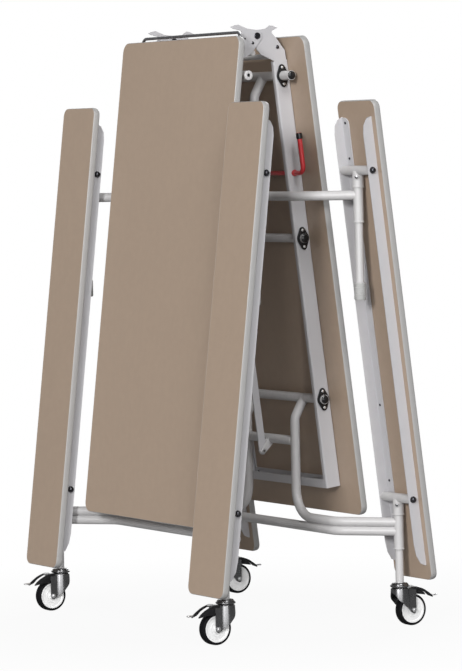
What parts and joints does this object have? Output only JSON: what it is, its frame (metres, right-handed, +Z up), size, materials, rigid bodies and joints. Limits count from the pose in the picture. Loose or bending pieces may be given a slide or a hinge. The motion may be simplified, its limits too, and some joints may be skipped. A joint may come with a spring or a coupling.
{
  "type": "folding table with benches",
  "caption": "Folding canteen table with attached benches, folded upright on braked swivel castors for rolling and storage",
  "frame": {"origin": "on the floor under the centre hinge, at the middle of the folded table's footprint", "axes": "+Z up, X across the table from bench to bench, Y along the table, the way that it unfolds"},
  "size_m": [1.2862, 0.913, 1.8975],
  "materials": {
    "laminate": "matte taupe laminate on board",
    "edge_band": "satin light grey rounded edge band",
    "powder_coat": "satin light grey powder coat",
    "rail_coat": "satin pale grey powder coat",
    "steel": "plain steel",
    "fork_grey": "dark grey coated steel",
    "tyre": "black tyre on a pale disc",
    "pedal": "black moulded lever",
    "latch_red": "red dipped coating",
    "chrome": "bright plated bar"
  },
  "bodies": {
    "rear_base": {"rear_castor_frame": "powder_coat", "rear_right_castor_post": "powder_coat", "rear_left_castor_post": "powder_coat"},
    "front_base": {"front_castor_frame": "powder_coat", "front_right_castor_post": "powder_coat", "front_left_castor_post": "powder_coat"},
    "rear_top": {"rear_top_panel": "laminate", "rear_top_edge": "edge_band", "rear_rail_right": "rail_coat", "rear_rail_left": "rail_coat", "rear_end_rail": "rail_coat", "rear_mid_tube": "powder_coat", "rear_tie_tube": "powder_coat", "hinge_pin_right": "steel", "hinge_pin_left": "steel"},
    "rear_legs": {"rear_leg_frame": "powder_coat", "rear_right_leg_post": "powder_coat", "rear_left_leg_post": "powder_coat"},
    "rear_link": {"rear_link_bar": "rail_coat"},
    "rear_right_seat": {"rear_right_seat_panel": "laminate", "rear_right_seat_edge": "edge_band", "rear_right_outer_angle": "rail_coat", "rear_right_inner_angle": "rail_coat"},
    "rear_right_castor": {"rear_right_castor_fork": "fork_grey"},
    "rear_right_wheel": {"rear_right_castor_wheel": "tyre"},
    "rear_right_brake": {"rear_right_castor_pedal": "pedal"},
    "rear_left_seat": {"rear_left_seat_panel": "laminate", "rear_left_seat_edge": "edge_band", "rear_left_outer_angle": "rail_coat", "rear_left_inner_angle": "rail_coat"},
    "rear_left_castor": {"rear_left_castor_fork": "fork_grey"},
    "rear_left_wheel": {"rear_left_castor_wheel": "tyre"},
    "rear_left_brake": {"rear_left_castor_pedal": "pedal"},
    "front_top": {"front_top_panel": "laminate", "front_top_edge": "edge_band", "front_rail_right": "rail_coat", "front_rail_left": "rail_coat", "front_end_rail": "rail_coat", "front_mid_tube": "powder_coat", "front_tie_tube": "powder_coat", "top_handle": "chrome"},
    "front_legs": {"front_leg_frame": "powder_coat", "front_right_leg_post": "powder_coat", "front_left_leg_post": "powder_coat"},
    "front_link": {"front_link_bar": "rail_coat"},
    "front_right_seat": {"front_right_seat_panel": "laminate", "front_right_seat_edge": "edge_band", "front_right_outer_angle": "rail_coat", "front_right_inner_angle": "rail_coat"},
    "front_right_castor": {"front_right_castor_fork": "fork_grey"},
    "front_right_wheel": {"front_right_castor_wheel": "tyre"},
    "front_right_brake": {"front_right_castor_pedal": "pedal"},
    "front_left_seat": {"front_left_seat_panel": "laminate", "front_left_seat_edge": "edge_band", "front_left_outer_angle": "rail_coat", "front_left_inner_angle": "rail_coat"},
    "front_left_castor": {"front_left_castor_fork": "fork_grey"},
    "front_left_wheel": {"front_left_castor_wheel": "tyre"},
    "front_left_brake": {"front_left_castor_pedal": "pedal"},
    "latch": {"latch_lever": "latch_red"}
  },
  "joints": [
    {"name": "fold", "type": "hinge", "parent": "rear_base", "child": "rear_top", "pos_m": [0, 0.21851, 0.707], "axis": [1, 0, 0], "range_deg": [0, 83]},
    {"name": "centre_hinge", "type": "hinge", "parent": "rear_top", "child": "front_top", "pos_m": [0, 0, 1.86299], "axis": [1, 0, 0], "range_deg": [-166, 0]},
    {"name": "front_base_pivot", "type": "hinge", "parent": "front_top", "child": "front_base", "pos_m": [0, -0.21851, 0.707], "axis": [1, 0, 0], "range_deg": [0, 83]},
    {"name": "rear_leg_pivot", "type": "hinge", "parent": "rear_top", "child": "rear_legs", "pos_m": [0, 0.09201, 1.73726], "axis": [1, 0, 0], "range_deg": [-83, 0]},
    {"name": "front_leg_pivot", "type": "hinge", "parent": "front_top", "child": "front_legs", "pos_m": [0, -0.09201, 1.73726], "axis": [1, 0, 0], "range_deg": [0, 83]},
    {"name": "rear_right_seat_pivot", "type": "hinge", "parent": "rear_base", "child": "rear_right_seat", "pos_m": [0.536, 0.31851, 0.405], "axis": [1, 0, 0], "range_deg": [0, 83]},
    {"name": "front_right_seat_pivot", "type": "hinge", "parent": "front_base", "child": "front_right_seat", "pos_m": [0.536, -0.31851, 0.405], "axis": [1, 0, 0], "range_deg": [-83, 0]},
    {"name": "rear_left_seat_pivot", "type": "hinge", "parent": "rear_base", "child": "rear_left_seat", "pos_m": [-0.536, 0.31851, 0.405], "axis": [1, 0, 0], "range_deg": [0, 83]},
    {"name": "front_left_seat_pivot", "type": "hinge", "parent": "front_base", "child": "front_left_seat", "pos_m": [-0.536, -0.31851, 0.405], "axis": [1, 0, 0], "range_deg": [-83, 0]},
    {"name": "rear_link_pivot", "type": "hinge", "parent": "rear_base", "child": "rear_link", "pos_m": [0, 0.14851, 0.531], "axis": [1, 0, 0], "range_deg": [0, 83]},
    {"name": "front_link_pivot", "type": "hinge", "parent": "front_base", "child": "front_link", "pos_m": [0, -0.14851, 0.531], "axis": [1, 0, 0], "range_deg": [-83, 0]},
    {"name": "rear_right_swivel", "type": "hinge", "parent": "rear_base", "child": "rear_right_castor", "pos_m": [0.536, 0.31851, 0.137], "axis": [0, 0, 1], "continuous": true},
    {"name": "rear_right_roll", "type": "hinge", "parent": "rear_right_castor", "child": "rear_right_wheel", "pos_m": [0.536, 0.35751, 0.05], "axis": [1, 0, 0], "continuous": true},
    {"name": "rear_right_brake_press", "type": "hinge", "parent": "rear_right_castor", "child": "rear_right_brake", "pos_m": [0.536, 0.36351, 0.1165], "axis": [-1, 0, 0], "range_deg": [0, 8]},
    {"name": "rear_left_swivel", "type": "hinge", "parent": "rear_base", "child": "rear_left_castor", "pos_m": [-0.536, 0.31851, 0.137], "axis": [0, 0, 1], "continuous": true},
    {"name": "rear_left_roll", "type": "hinge", "parent": "rear_left_castor", "child": "rear_left_wheel", "pos_m": [-0.536, 0.35751, 0.05], "axis": [1, 0, 0], "continuous": true},
    {"name": "rear_left_brake_press", "type": "hinge", "parent": "rear_left_castor", "child": "rear_left_brake", "pos_m": [-0.536, 0.36351, 0.1165], "axis": [-1, 0, 0], "range_deg": [0, 8]},
    {"name": "front_right_swivel", "type": "hinge", "parent": "front_base", "child": "front_right_castor", "pos_m": [0.536, -0.31851, 0.137], "axis": [0, 0, 1], "continuous": true},
    {"name": "front_right_roll", "type": "hinge", "parent": "front_right_castor", "child": "front_right_wheel", "pos_m": [0.536, -0.35751, 0.05], "axis": [1, 0, 0], "continuous": true},
    {"name": "front_right_brake_press", "type": "hinge", "parent": "front_right_castor", "child": "front_right_brake", "pos_m": [0.536, -0.36351, 0.1165], "axis": [1, 0, 0], "range_deg": [0, 8]},
    {"name": "front_left_swivel", "type": "hinge", "parent": "front_base", "child": "front_left_castor", "pos_m": [-0.536, -0.31851, 0.137], "axis": [0, 0, 1], "continuous": true},
    {"name": "front_left_roll", "type": "hinge", "parent": "front_left_castor", "child": "front_left_wheel", "pos_m": [-0.536, -0.35751, 0.05], "axis": [1, 0, 0], "continuous": true},
    {"name": "front_left_brake_press", "type": "hinge", "parent": "front_left_castor", "child": "front_left_brake", "pos_m": [-0.536, -0.36351, 0.1165], "axis": [1, 0, 0], "range_deg": [0, 8]},
    {"name": "latch_turn", "type": "hinge", "parent": "rear_top", "child": "latch", "pos_m": [0, 0.12979, 1.42957], "axis": [1, 0, 0], "range_deg": [0, 70]}
  ],
  "couplings": [
    {"joint": "centre_hinge", "follows": "fold", "ratio": -2},
    {"joint": "front_base_pivot", "follows": "fold", "ratio": 1},
    {"joint": "rear_leg_pivot", "follows": "fold", "ratio": -1},
    {"joint": "front_leg_pivot", "follows": "fold", "ratio": 1},
    {"joint": "rear_right_seat_pivot", "follows": "fold", "ratio": 1},
    {"joint": "front_right_seat_pivot", "follows": "fold", "ratio": -1},
    {"joint": "rear_left_seat_pivot", "follows": "fold", "ratio": 1},
    {"joint": "front_left_seat_pivot", "follows": "fold", "ratio": -1},
    {"joint": "rear_link_pivot", "follows": "fold", "ratio": 1},
    {"joint": "front_link_pivot", "follows": "fold", "ratio": -1}
  ]
}
